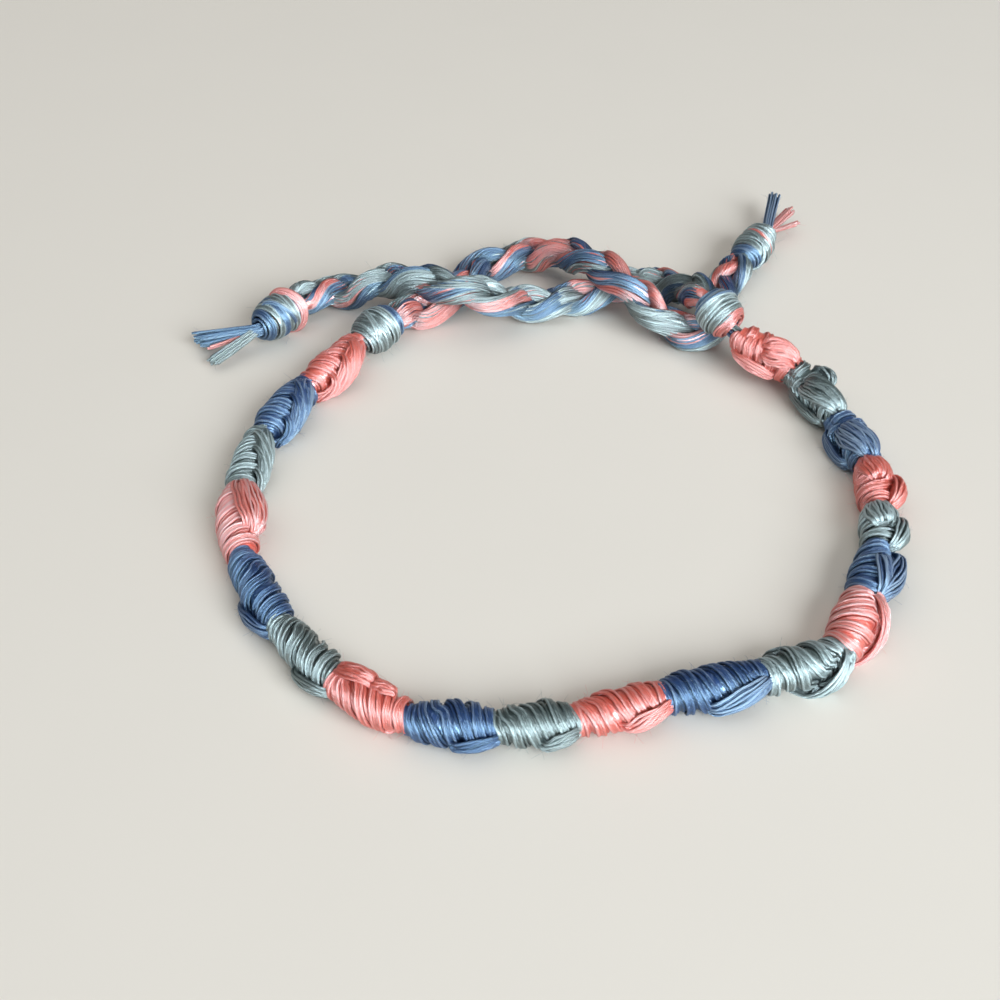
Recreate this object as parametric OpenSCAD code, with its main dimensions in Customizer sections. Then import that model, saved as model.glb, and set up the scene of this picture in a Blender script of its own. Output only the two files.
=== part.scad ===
// Knotted friendship bracelet: a band of half hitches in three colours, closed by two braided ties.
// Millimetres. The bracelet lies on the plane z = 0, with the middle of its band over the origin.

/* [Knotted band] */
// Diameter of the band beside its ridge
band_d = 3.7; // [3.2:0.1:4.2]
// How far the winding ridge of knots stands out of the band
ridge_h = 1.1; // [0.4:0.1:1.4]
// How far an arc of the ridge reaches to each side of its crest, in degrees
ridge_spread = 42; // [30:1:60]
// Height of the ribs that the hitches leave along the band
rib_h = 0.2; // [0.04:0.02:0.3]
// Share of its girth that a block of one colour loses at each end
end_pinch = 0.14; // [0.05:0.01:0.25]
// Diameter of the bundle of threads that the band is knotted round
core_d = 1.8; // [1.4:0.1:2.2]

/* [Braided ties] */
// Diameter of one strand of a braid
strand_d = 1.35; // [1.1:0.05:1.4]
// Length in which a strand crosses the braid and comes back
braid_pitch = 18; // [14:1:24]

/* [Knots and tassels] */
// Height of the wraps that wind round a knot
wrap_h = 0.3; // [0.1:0.05:0.5]
// Share of a tassel lock's thickness that is left at its cut end
lock_taper = 0.8; // [0.5:0.05:1]

/* [Hidden] */
CORAL = "#e8806c";
BLUE = "#6478ab";
SAGE = "#8f9e93";
COLOURS = [["coral", CORAL], ["blue", BLUE], ["sage", SAGE]];

// Gap that is left between one piece and the next
gap = 0.1;
// Middle of the band's box in the plan that the places below are laid out on
plan_mid = [0.43, -1.05, 0];

// Columns of a place, and of the table of blocks
X = 0;
Y = 1;
Z = 2;
GIRTH = 3;
RIDGE = 4;
FROM = 5;
TURN = 6;

// One row for each block of hitches, from the start knot round the front to the finish knot: where its
// first end lies, its girth and its ridge as shares of band_d and ridge_h, the angle of the ridge at that
// end (0 outwards, 90 up, 180 inwards) and how far the ridge winds round before the other end
BLOCKS = [
    [-21.9,  22.8, 2.5, 0.98, 1.1, 130, 100],
    [-27.1,  15.9, 2.0, 1.04, 0.8, 115, 105],
    [-30.9,   8.3, 1.9, 0.92, 0.7, 115, 100],
    [-32.3,  -0.3, 1.9, 1.08, 1.3, 125, 100],
    [-30.7,  -9.0, 1.9, 1.00, 0.9, 130, 200],
    [-26.0, -17.2, 1.9, 0.96, 0.9, 130, 200],
    [-20.2, -23.6, 1.9, 1.00, 0.8, 110, 200],
    [-13.9, -27.4, 1.9, 1.04, 0.7, 110, 220],
    [ -6.2, -28.3, 1.9, 1.02, 0.7, 140, 200],
    [  0.4, -27.7, 1.9, 0.98, 0.9, 160, 190],
    [  8.2, -25.5, 1.9, 1.04, 1.0, 190, 200],
    [ 17.2, -23.2, 1.9, 1.04, 1.0, 200, 200],
    [ 24.4, -20.5, 1.9, 1.10, 1.0, 270, 130],
    [ 28.0, -14.3, 1.9, 1.04, 1.1, 340,  70],
    [ 30.8,  -8.3, 1.9, 1.00, 1.0, 350,  70],
    [ 31.8,  -3.0, 1.9, 1.00, 1.1, 350,  60],
    [ 32.2,   3.5, 1.9, 1.04, 1.0,  30, 150],
    [ 30.3,  10.8, 2.1, 1.00, 1.0,  30, 150],
    [ 26.6,  17.8, 2.8, 1.10, 0.9,  60,  70]
];
// Where the last block ends, at the finish knot
BAND_END = [20.8, 21.4, 4.8];

// Columns that follow the place in the table of knots
AZIMUTH = 3;
TILT = 4;
LENGTH = 5;
DIAMETER = 6;
COLLAR = 7;

// One row for each overhand knot: its middle, the way it points (turned about +Z from +X, and raised), its
// length and diameter, and how far the loop at its first end stands out
START_KNOT = [-20.1, 25.1, 2.6, 52, 0, 5.4, 5.2, 0];
FINISH_KNOT = [18.9, 24.1, 5.9, 122, 8, 4.6, 5.2, 0];
LEFT_END_KNOT = [-31.8, 28.0, 2.6, 233, 0, 6.2, 5.0, 0.5];
RIGHT_END_KNOT = [25.7, 41.9, 2.4, 57, 0, 7.4, 4.6, 0];

// Route of the left tie's middle: out of the start knot, under the right tie, round the back, over the
// right tie and under the finish knot to its own end knot
LEFT_ROUTE = [
    [-16.8, 28.8, 2.3], [-14.4, 30.2, 1.8], [-12.1, 32.6, 1.8], [-10.4, 35.2, 1.8],
    [-8.8, 37.5, 1.8], [-6.6, 39.3, 1.8], [-4.0, 40.4, 1.9], [-1.4, 40.4, 2.4], [1.2, 39.0, 3.5],
    [3.6, 36.4, 4.8], [5.9, 33.4, 5.5], [8.2, 31.0, 5.4], [10.0, 29.2, 4.7], [11.8, 27.6, 3.6],
    [13.6, 26.0, 2.5], [15.4, 24.6, 1.9], [17.4, 24.6, 1.8], [18.8, 26.4, 1.8], [19.6, 29.4, 1.8],
    [20.4, 32.6, 1.8], [21.6, 35.4, 2.0]
];
// Route of the right tie's middle: out of the finish knot, under the left tie, over it again and past the
// start knot to its own end knot
RIGHT_ROUTE = [
    [16.9, 28.2, 5.9], [15.8, 30.8, 4.2], [14.2, 33.6, 2.5], [12.0, 35.6, 1.9],
    [9.4, 35.4, 1.8], [7.0, 34.2, 1.8], [4.8, 33.0, 1.8], [2.0, 31.8, 1.8], [-1.6, 30.8, 2.1],
    [-4.2, 29.8, 3.0], [-6.4, 28.9, 4.3], [-8.6, 28.6, 5.3], [-10.9, 28.9, 5.6], [-13.2, 29.9, 5.6],
    [-15.6, 31.3, 5.2], [-18.4, 32.6, 4.2], [-21.6, 33.2, 2.9], [-24.2, 33.4, 2.0], [-26.8, 33.2, 2.0],
    [-28.7, 32.1, 2.4]
];

// Columns of the table of tassel locks
WAY = 0;
DIP = 1;
LONG = 2;
THICK = 3;

// One row for each lock of a tassel: the way it points, how far it dips, its length and its thickness
LEFT_LOCKS = [
    [184, 10, 7.2, 2.4],
    [220, 12, 6.8, 2.0]
];
RIGHT_LOCKS = [
    [74, -3, 8.8, 2.0],
    [55, 3, 7.2, 1.5],
    [36, 8, 6.2, 1.1]
];

// Turns of the wraps that show along a knot, and how much slimmer than its middle a knot is at its ends,
// as a share of the square of its radius
wrap_turns = 2.5;
knot_slim = 0.66;
// Where the loop at a knot's first end lies, and half its width, as shares of the knot's length
collar_at = 0.14;
collar_w = 0.1;
// Head of a tassel: its length, its diameter as a share of the first lock's, and how much of that it loses
head_long = 1.6;
head_share = 1.2;
head_taper = 0.2;
// Thickest place of a lock, as a share of its length
lock_full = 0.4;
// Powers that shape the ends of a block's body and of its ridge
pinch_power = 3;
crest_power = 0.6;
// Steps to each side over which the way of the band, of a tie and of a strand is measured
band_probe = 0.01;
tie_probe = 0.5;
strand_probe = 0.3;

// Sides and spans of the swept skins
band_sides = 12;
block_spans = 10;
bore_spans = 2;
strand_sides = 8;
strand_step = braid_pitch / 10;
route_steps = 6;
knot_sides = 12;
knot_spans = 9;
lock_sides = 8;
lock_spans = 3;

// A braid's strands swing this far to each side and this far up and down, so that they pass each other
braid_half_w = strand_d;
braid_half_h = sqrt(pow((strand_d + 2 * gap) / sin(60), 2) - pow(braid_half_w, 2));
// Ends of a strand's phase, a third of a pitch apart
strand_phase = [0, 120, 240];

function unit(v) = v / norm(v);

// A point of the smooth curve through p1 and p2, with p0 before them and p3 after them
function curve_at(p0, p1, p2, p3, t) =
    (2 * p1 + (p2 - p0) * t + (2 * p0 - 5 * p1 + 4 * p2 - p3) * t ^ 2
        + (3 * p1 - p0 - 3 * p2 + p3) * t ^ 3) / 2;

// Sideways and upward unit vectors across a path that runs along the vector t
function side_of(t) = unit(cross(t, [0, 0, 1]));
function up_of(t) = unit(cross(side_of(t), t));

// Cotton that would pass below the plane it rests on is pressed flat on it
function rest(p) = [p[X], p[Y], max(p[Z], 0)] - plan_mid;

// Signed difference of two angles, from -180 to 180
function apart(a, b) = ((a - b + 900) % 360) - 180;

// A ring of points round the place c, across the vector t, with radii from a list
function ring(c, t, radii) =
    let (n = len(radii), side = side_of(t), up = up_of(t))
    [for (j = [0 : n - 1]) let (a = 360 * j / n) rest(c + radii[j] * (cos(a) * side + sin(a) * up))];

// Faces between two rings of n points that start at the indices a and b
function band_faces(a, b, n) =
    [for (j = [0 : n - 1]) let (k = (j + 1) % n) each [[a + j, a + k, b + k], [a + j, b + k, b + j]]];

// Closes a row of rings to a solid, with flat ends
module skin(rings) {
    n = len(rings[0]);
    last = len(rings) - 1;
    walls = [for (i = [0 : last - 1]) each band_faces(i * n, (i + 1) * n, n)];
    first_end = [for (j = [n - 1 : -1 : 0]) j];
    last_end = [for (j = [0 : n - 1]) last * n + j];
    polyhedron([for (r = rings) each r], concat([first_end], walls, [last_end]));
}

// Closes a row of rings that comes back to its first ring, as a sleeve's outside and bore do
module sleeve(rings) {
    n = len(rings[0]);
    count = len(rings);
    walls = [for (i = [0 : count - 1]) each band_faces(i * n, ((i + 1) % count) * n, n)];
    polyhedron([for (r = rings) each r], walls);
}

function place(row) = [row[X], row[Y], row[Z]];
function knot_way(row) =
    [cos(row[AZIMUTH]) * cos(row[TILT]), sin(row[AZIMUTH]) * cos(row[TILT]), sin(row[TILT])];
// The place that lies just off a knot's far end, or its near end with the side -1
function off_end(row, side) = place(row) + side * knot_way(row) * (row[LENGTH] / 2 + gap);

// Places along the band: the knots at both ends lead the curve in and out
BAND_PATH = concat([place(START_KNOT)], [for (row = BLOCKS) place(row)], [BAND_END, place(FINISH_KNOT)]);
function band_at(i, u) = curve_at(BAND_PATH[i], BAND_PATH[i + 1], BAND_PATH[i + 2], BAND_PATH[i + 3], u);
function band_way(i, u) = unit(band_at(i, u + band_probe) - band_at(i, u - band_probe));
function block_length(i) = norm(band_at(i, 1) - band_at(i, 0.5)) + norm(band_at(i, 0.5) - band_at(i, 0));

// Radius of block i at the share u of its length and the angle a round it
function block_r(i, u, a) =
    let (row = BLOCKS[i],
        rib = round(u * block_spans) % 2 == 1 ? rib_h / 2 : -rib_h / 2,
        body = band_d / 2 * row[GIRTH] * (1 - end_pinch * pow(abs(2 * u - 1), pinch_power)),
        crest = ridge_h * row[RIDGE] * pow(max(sin(180 * u), 0), crest_power),
        off = apart(a, row[FROM] + row[TURN] * u))
    body + rib + crest * exp(-pow(off / ridge_spread, 2));

function block_ring(i, u) =
    let (trim = gap / 2 / block_length(i), v = trim + u * (1 - 2 * trim))
    ring(band_at(i, v), band_way(i, v),
        [for (j = [0 : band_sides - 1]) block_r(i, u, 360 * j / band_sides)]);

function bore_ring(i, u) =
    let (trim = gap / 2 / block_length(i), v = trim + u * (1 - 2 * trim))
    ring(band_at(i, v), band_way(i, v), [for (j = [1 : band_sides]) core_d / 2 + gap]);

module block(i) {
    color(COLOURS[i % 3][1])
    sleeve(concat(
        [for (k = [0 : block_spans]) block_ring(i, k / block_spans)],
        [for (k = [bore_spans : -1 : 0]) bore_ring(i, k / bore_spans)]));
}

module core_threads() {
    last = len(BLOCKS) - 1;
    radii = [for (j = [1 : strand_sides]) core_d / 2];
    color(BLUE)
    skin(concat(
        [ring(off_end(START_KNOT, -1), -knot_way(START_KNOT), radii)],
        [for (i = [0 : last], u = i < last ? [0, 0.5] : [0, 0.5, 1])
            ring(band_at(i, u), band_way(i, u), radii)],
        [ring(off_end(FINISH_KNOT, -1), knot_way(FINISH_KNOT), radii)]));
}

// The wound body of an overhand knot
module knot(row) {
    skin([for (k = [0 : knot_spans]) let (u = k / knot_spans, w = 2 * u - 1)
        ring(place(row) + knot_way(row) * w * row[LENGTH] / 2, knot_way(row),
            [for (j = [0 : knot_sides - 1]) let (a = 360 * j / knot_sides)
                row[DIAMETER] / 2 * sqrt(1 - knot_slim * w * w)
                + wrap_h * cos(360 * wrap_turns * u - a) * (1 - w * w)
                + row[COLLAR] * exp(-pow((u - collar_at) / collar_w, 2))])]);
}

// The route from one knot to another as a fine curve, and the length run at each of its points
function fine(from, route, to) =
    let (n = len(route), r = concat([place(from), off_end(from, 1)], route, [off_end(to, -1), place(to)]))
    concat([for (i = [0 : n], k = [0 : route_steps - 1])
        curve_at(r[i], r[i + 1], r[i + 2], r[i + 3], k / route_steps)], [r[n + 2]]);
function run(points, i = 0, sum = 0) =
    i == len(points) - 1 ? [sum] : concat([sum], run(points, i + 1, sum + norm(points[i + 1] - points[i])));
function along(points, runs, s) =
    [for (axis = [X, Y, Z]) lookup(s, [for (i = [0 : len(points) - 1]) [runs[i], points[i][axis]]])];

// Middle of one strand of a braid, at the length s along the tie
function strand_at(points, runs, s, phase) =
    let (t = unit(along(points, runs, s + tie_probe) - along(points, runs, s - tie_probe)),
        a = 360 * s / braid_pitch + phase)
    along(points, runs, s) + braid_half_w * sin(a) * side_of(t) - braid_half_h * sin(2 * a) * up_of(t);

// One strand of the tie between two knots, cut square to the knot at both its ends
module strand(from, route, to, phase) {
    points = fine(from, route, to);
    runs = run(points);
    total = runs[len(runs) - 1];
    spans = round(total / strand_step);
    radii = [for (j = [1 : strand_sides]) strand_d / 2];
    skin([for (k = [0 : spans])
        let (s = total * k / spans,
            ahead = strand_at(points, runs, s + strand_probe, phase),
            behind = strand_at(points, runs, s - strand_probe, phase),
            t = k == 0 ? knot_way(from) : k == spans ? knot_way(to) : ahead - behind)
        ring(strand_at(points, runs, s, phase), t, radii)]);
}

// The cut threads beyond an end knot: locks that leave one small head
module tassel(row, locks) {
    way = knot_way(row);
    root = off_end(row, 1);
    head_d = head_share * locks[0][THICK];
    skin([for (u = [0, 0.5, 1]) let (r = head_d / 2 * (1 - head_taper * u))
        ring(root + way * head_long * u, way, [for (j = [1 : lock_sides]) r])]);
    for (lock = locks) {
        aim = [cos(lock[WAY]) * cos(lock[DIP]), sin(lock[WAY]) * cos(lock[DIP]), -sin(lock[DIP])];
        skin([for (k = [0 : lock_spans]) let (u = k / lock_spans)
            ring(root + way * gap + aim * lock[LONG] * u, k == 0 ? way : aim,
                [for (j = [1 : lock_sides])
                    lock[THICK] / 2 * (1 - (1 - lock_taper) * abs(2 * (u - lock_full)))])]);
    }
}

module start_knot() { color(SAGE) knot(START_KNOT); }
module finish_knot() { color(SAGE) knot(FINISH_KNOT); }
module left_strand(phase) { strand(START_KNOT, LEFT_ROUTE, RIGHT_END_KNOT, phase); }
module left_tie_strand_a() { color(BLUE) left_strand(strand_phase[0]); }
module left_tie_strand_b() { color(CORAL) left_strand(strand_phase[1]); }
module left_tie_strand_c() { color(SAGE) left_strand(strand_phase[2]); }
module left_tie_end_knot() { color(SAGE) knot(RIGHT_END_KNOT); }
module left_tie_tassel() { color(CORAL) tassel(RIGHT_END_KNOT, RIGHT_LOCKS); }
module right_strand(phase) { strand(FINISH_KNOT, RIGHT_ROUTE, LEFT_END_KNOT, phase); }
module right_tie_strand_a() { color(BLUE) right_strand(strand_phase[0]); }
module right_tie_strand_b() { color(CORAL) right_strand(strand_phase[1]); }
module right_tie_strand_c() { color(SAGE) right_strand(strand_phase[2]); }
module right_tie_end_knot() { color(BLUE) knot(LEFT_END_KNOT); }
module right_tie_tassel() { color(BLUE) tassel(LEFT_END_KNOT, LEFT_LOCKS); }

// Names of the blocks, such as block_01_coral
BLOCK_NAMES = [for (i = [0 : len(BLOCKS) - 1])
    str("block_", i < 9 ? "0" : "", i + 1, "_", COLOURS[i % 3][0])];

for (i = [0 : len(BLOCKS) - 1])
    block(i);
core_threads();
start_knot();
finish_knot();
left_tie_strand_a();
left_tie_strand_b();
left_tie_strand_c();
left_tie_end_knot();
left_tie_tassel();
right_tie_strand_a();
right_tie_strand_b();
right_tie_strand_c();
right_tie_end_knot();
right_tie_tassel();
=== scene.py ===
"""A knotted thread bracelet, thread by thread: blocks of half hitches in three colours round a core,
an overhand knot at each end of the band, and two braided ties that end in knots and short tassels.

Lengths inside the functions are millimetres, and become metres when a mesh is made."""

import math

import bpy
import numpy as np
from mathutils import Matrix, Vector


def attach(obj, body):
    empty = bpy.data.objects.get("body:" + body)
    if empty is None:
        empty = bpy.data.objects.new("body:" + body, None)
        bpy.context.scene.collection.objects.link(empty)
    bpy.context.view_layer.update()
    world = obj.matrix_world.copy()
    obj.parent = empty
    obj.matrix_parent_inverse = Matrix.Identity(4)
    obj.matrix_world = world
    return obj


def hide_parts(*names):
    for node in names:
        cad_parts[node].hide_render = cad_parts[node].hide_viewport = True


bl_info = {
    "name": "Knotted Thread Bracelet",
    "version": (1, 0, 0),
    "blender": (4, 5, 0),
    "location": "3D View > Sidebar > Bracelet",
    "description": "Makes a friendship bracelet from its separate threads",
    "category": "Add Mesh",
}

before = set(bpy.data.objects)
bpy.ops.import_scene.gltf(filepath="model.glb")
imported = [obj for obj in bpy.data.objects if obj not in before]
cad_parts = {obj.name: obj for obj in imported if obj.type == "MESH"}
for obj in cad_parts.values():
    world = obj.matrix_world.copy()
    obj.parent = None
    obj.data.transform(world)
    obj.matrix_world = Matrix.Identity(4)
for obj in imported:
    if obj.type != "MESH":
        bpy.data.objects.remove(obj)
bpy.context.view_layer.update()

MM = 0.001
BODY = "root"
COLOURS = ("coral", "blue", "sage")

# Turn from one thread to the next that fills a round evenly, in radians
GOLDEN_ANGLE = 2.39996
# Lowest that the middle of a ply lies over the floor, in its widths: it is pressed a little flat there
RESTING = 0.42
# Spacing of the points along a ply laid on a curve
PLY_STEP = 0.45

# Loose fibres: the longest, their thickness, how many stand out of a millimetre of band or of tie, and how
# many out of a knot or a tassel
FIBRE_LENGTH, FIBRE_RADIUS = 0.8, 0.011
BAND_FUZZ, TIE_FUZZ, KNOT_FUZZ = 18, 12, 150

# Middle of the band's box in the plan that the places below are laid out on
PLAN_MID = np.array([0.43, -1.05, 0.0])

# One row for each block of hitches: where its first end lies (x, y, z), its girth and its ridge as shares of
# the usual ones, the angle of the ridge at that end (0 outwards, 90 up, 180 inwards), how far it winds on,
# and how much painted highlight brightens the wraps and the floats, or painted shade darkens them if negative
BLOCKS = [
    (-21.9, 22.8, 2.5, 0.98, 1.1, 130, 100, 0.1, 0.25),
    (-27.1, 15.9, 2.0, 1.04, 0.8, 115, 105, 0.25, 0.7),
    (-30.9, 8.3, 1.9, 0.92, 0.7, 115, 100, 0.45, 0.5),
    (-32.3, -0.3, 1.9, 1.08, 1.3, 125, 100, 0.8, 0.8),
    (-30.7, -9.0, 1.9, 1.00, 0.9, 130, 200, -0.1, 0.0),
    (-26.0, -17.2, 1.9, 0.96, 0.9, 130, 200, 0.0, 0.0),
    (-20.2, -23.6, 1.9, 1.00, 0.8, 110, 200, 0.0, 0.0),
    (-13.9, -27.4, 1.9, 1.04, 0.7, 110, 220, 0.0, -0.3),
    (-6.2, -28.3, 1.9, 1.02, 0.7, 140, 200, 0.0, -0.4),
    (0.4, -27.7, 1.9, 0.98, 0.9, 160, 190, 0.1, 0.1),
    (8.2, -25.5, 1.9, 1.04, 1.0, 190, 200, 0.0, 0.5),
    (17.2, -23.2, 1.9, 1.04, 1.0, 200, 200, 0.6, 0.8),
    (24.4, -20.5, 1.9, 1.10, 1.0, 270, 130, 0.6, 0.7),
    (28.0, -14.3, 1.9, 1.04, 1.1, 340, 70, 0.2, 0.6),
    (30.8, -8.3, 1.9, 1.00, 1.0, 350, 70, 0.4, 0.4),
    (31.8, -3.0, 1.9, 1.00, 1.1, 350, 60, 0.0, 0.0),
    (32.2, 3.5, 1.9, 1.04, 1.0, 30, 150, 0.25, 0.6),
    (30.3, 10.8, 2.1, 1.00, 1.0, 30, 150, 0.0, 0.2),
    (26.6, 17.8, 2.8, 1.10, 0.9, 60, 70, -0.1, -0.1),
]
BAND_END = (20.8, 21.4, 4.8)

# Overhand knots: middle, azimuth, tilt, length and diameter
KNOTS = {
    "start": ((-20.1, 25.1, 2.6), 52, 0, 5.4, 5.2),
    "finish": ((18.9, 24.1, 5.9), 122, 8, 4.6, 5.2),
    "left_end": ((-31.8, 28.0, 2.6), 233, 0, 6.2, 5.0),
    "right_end": ((25.7, 41.9, 2.4), 57, 0, 7.4, 4.6),
}

# Routes of the two ties' middles from one knot to the other: x, y, z
LEFT_ROUTE = [
    (-16.8, 28.8, 2.3), (-14.4, 30.2, 1.8), (-12.1, 32.6, 1.8), (-10.4, 35.2, 1.8),
    (-8.8, 37.5, 1.8), (-6.6, 39.3, 1.8), (-4.0, 40.4, 1.9), (-1.4, 40.4, 2.4), (1.2, 39.0, 3.5),
    (3.6, 36.4, 4.8), (5.9, 33.4, 5.5), (8.2, 31.0, 5.4), (10.0, 29.2, 4.7), (11.8, 27.6, 3.6),
    (13.6, 26.8, 2.5), (15.4, 25.8, 1.9), (17.4, 25.8, 1.8), (18.8, 27.0, 1.8), (19.6, 29.4, 1.8),
    (20.4, 32.6, 1.8), (21.6, 35.4, 2.0),
]
RIGHT_ROUTE = [
    (16.9, 28.2, 5.9), (15.8, 30.8, 4.2), (14.2, 33.6, 2.5), (12.0, 35.6, 1.9),
    (9.4, 35.4, 1.8), (7.0, 34.2, 1.8), (4.8, 33.0, 1.8), (2.0, 31.8, 1.8), (-1.6, 30.8, 2.1),
    (-4.2, 29.8, 3.0), (-6.4, 28.9, 4.3), (-8.6, 28.6, 5.3), (-10.9, 28.9, 5.6), (-13.2, 29.9, 5.6),
    (-15.6, 31.3, 5.2), (-18.4, 32.6, 4.2), (-21.6, 33.2, 2.9), (-24.2, 33.4, 2.0), (-26.8, 33.2, 2.0),
    (-28.7, 32.1, 2.4),
]


def distance_property(name, description, default, least, most):
    """A length in metres."""
    return bpy.props.FloatProperty(name=name, description=description, default=default, min=least, max=most,
                                   subtype="DISTANCE", unit="LENGTH")


def colour_property(name, description, default):
    """A colour."""
    return bpy.props.FloatVectorProperty(name=name, description=description, default=default, size=3,
                                         min=0, max=1, subtype="COLOR")


class BraceletSizes(bpy.types.PropertyGroup):
    """Sizes of the threads and of what they are tied into."""
    band_width: distance_property("Band width", "Width of the band beside its ridge", 0.0037, 0.003, 0.005)
    ridge_height: distance_property(
        "Ridge height", "How far the winding ridge of knots stands out", 0.0010, 0.0, 0.002)
    hitch_pitch: distance_property(
        "Hitch pitch", "Length of the band that one half hitch takes", 0.00112, 0.0006, 0.003)
    wrap_lean: distance_property(
        "Wrap lean", "How far a wrap leans back along the band as it goes round", 0.0032, 0.0, 0.006)
    float_length: distance_property(
        "Float length", "How far a thread runs on along the ridge after its wrap", 0.0042, 0.001, 0.008)
    ply_width: distance_property("Ply width", "Width of one ply of the floss", 0.0003, 0.0001, 0.001)
    tie_ply_width: distance_property(
        "Tie ply width", "Width of one ply in the braided ties", 0.00029, 0.0001, 0.001)
    braid_width: distance_property("Braid width", "Width of a braided tie", 0.0043, 0.003, 0.006)
    braid_height: distance_property("Braid height", "Thickness of a braided tie", 0.0038, 0.002, 0.005)
    strand_width: distance_property(
        "Strand width", "Width of one flattened strand of a braid", 0.0031, 0.001, 0.0036)
    strand_thickness: distance_property(
        "Strand thickness", "Thickness of one flattened strand of a braid", 0.0018, 0.001, 0.0025)
    braid_pitch: distance_property(
        "Braid pitch", "Length in which a strand crosses the braid and comes back", 0.0184, 0.01, 0.03)


class BraceletColours(bpy.types.PropertyGroup):
    """Colours of the three flosses."""
    coral: colour_property("Coral", "Colour of the coral floss", (0.83, 0.140, 0.090))
    blue: colour_property("Blue", "Colour of the blue floss", (0.022, 0.066, 0.240))
    sage: colour_property("Sage", "Colour of the sage floss", (0.075, 0.106, 0.100))
    gloss: bpy.props.FloatProperty(
        name="Gloss", description="How glossy the cotton is", default=0.5,
        min=0, max=1, subtype="FACTOR")


class BraceletStage(bpy.types.PropertyGroup):
    """The surface that the bracelet lies on, its light and the camera."""
    floor: colour_property("Floor", "Colour of the floor", (0.76, 0.72, 0.66))
    elevation: bpy.props.FloatProperty(
        name="Camera elevation", description="Height of the camera above the horizon",
        default=math.radians(46), min=0.1, max=1.5, subtype="ANGLE", unit="ROTATION")
    distance: distance_property(
        "Camera distance", "From the camera to the point that it looks at", 0.12883, 0.05, 1)
    aim: bpy.props.FloatVectorProperty(
        name="Aim", description="Point on the floor that the camera looks at", default=(-0.00633, 0.00155, 0),
        size=3, subtype="TRANSLATION", unit="LENGTH")
    lens: bpy.props.FloatProperty(
        name="Lens", description="Focal length in millimetres", default=45, min=20, max=200)


def unit(v):
    """Vectors of length one along the rows of v."""
    return v / np.maximum(np.linalg.norm(v, axis=-1, keepdims=True), 1e-9)


def curve_through(keys, step):
    """Points of a smooth curve through the keys, about step apart in their first three columns."""
    keys = np.asarray(keys, float)
    led = np.vstack([2 * keys[0] - keys[1], keys, 2 * keys[-1] - keys[-2]])
    out = []
    for p0, p1, p2, p3 in zip(led, led[1:], led[2:], led[3:]):
        count = max(2, math.ceil(np.linalg.norm(p2[:3] - p1[:3]) / step))
        t = (np.arange(count) / count)[:, None]
        out.append((2 * p1 + (p2 - p0) * t + (2 * p0 - 5 * p1 + 4 * p2 - p3) * t**2
                    + (3 * p1 - p0 - 3 * p2 + p3) * t**3) / 2)
    return np.vstack(out + [keys[-1:]])


def travelled(points):
    """Length along the points, from 0 at the first."""
    return np.concatenate([[0], np.cumsum(np.linalg.norm(np.diff(points, axis=0), axis=1))])


def along(points, at):
    """Points at the lengths in at along a line of points, and going straight on past its ends."""
    run = travelled(points)
    inside = np.stack([np.interp(at, run, column) for column in points.T], axis=1)
    before = np.minimum(at, 0)[:, None] * unit(points[1] - points[0])
    after = np.maximum(at - run[-1], 0)[:, None] * unit(points[-1] - points[-2])
    return inside + before + after


def side_and_up(ways):
    """Sideways and upward directions across the ways; sideways is to the right of the way."""
    side = unit(np.cross(ways, (0, 0, 1)))
    return side, unit(np.cross(side, ways))


def turned(side, up, angle):
    """Directions across a line, turned by the angles from its side towards its up."""
    return side * np.cos(angle)[:, None] + up * np.sin(angle)[:, None]


def pointing(azimuth, tilt):
    """The way at that azimuth in degrees, tilted up by so many degrees."""
    a, t = math.radians(azimuth), math.radians(tilt)
    return np.array([math.cos(a) * math.cos(t), math.sin(a) * math.cos(t), math.sin(t)])


def wander(rng, count, every, size):
    """A smooth random line of count numbers, which turns about once in every steps."""
    knots = max(2, math.ceil(count / every) + 1)
    return np.interp(np.linspace(0, knots - 1, count), np.arange(knots), rng.normal(0, size, knots))


def add_object(name, data):
    """A new object in the scene for a mesh, a lamp or a camera."""
    thing = bpy.data.objects.new(name, data)
    bpy.context.scene.collection.objects.link(thing)
    return thing


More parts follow.
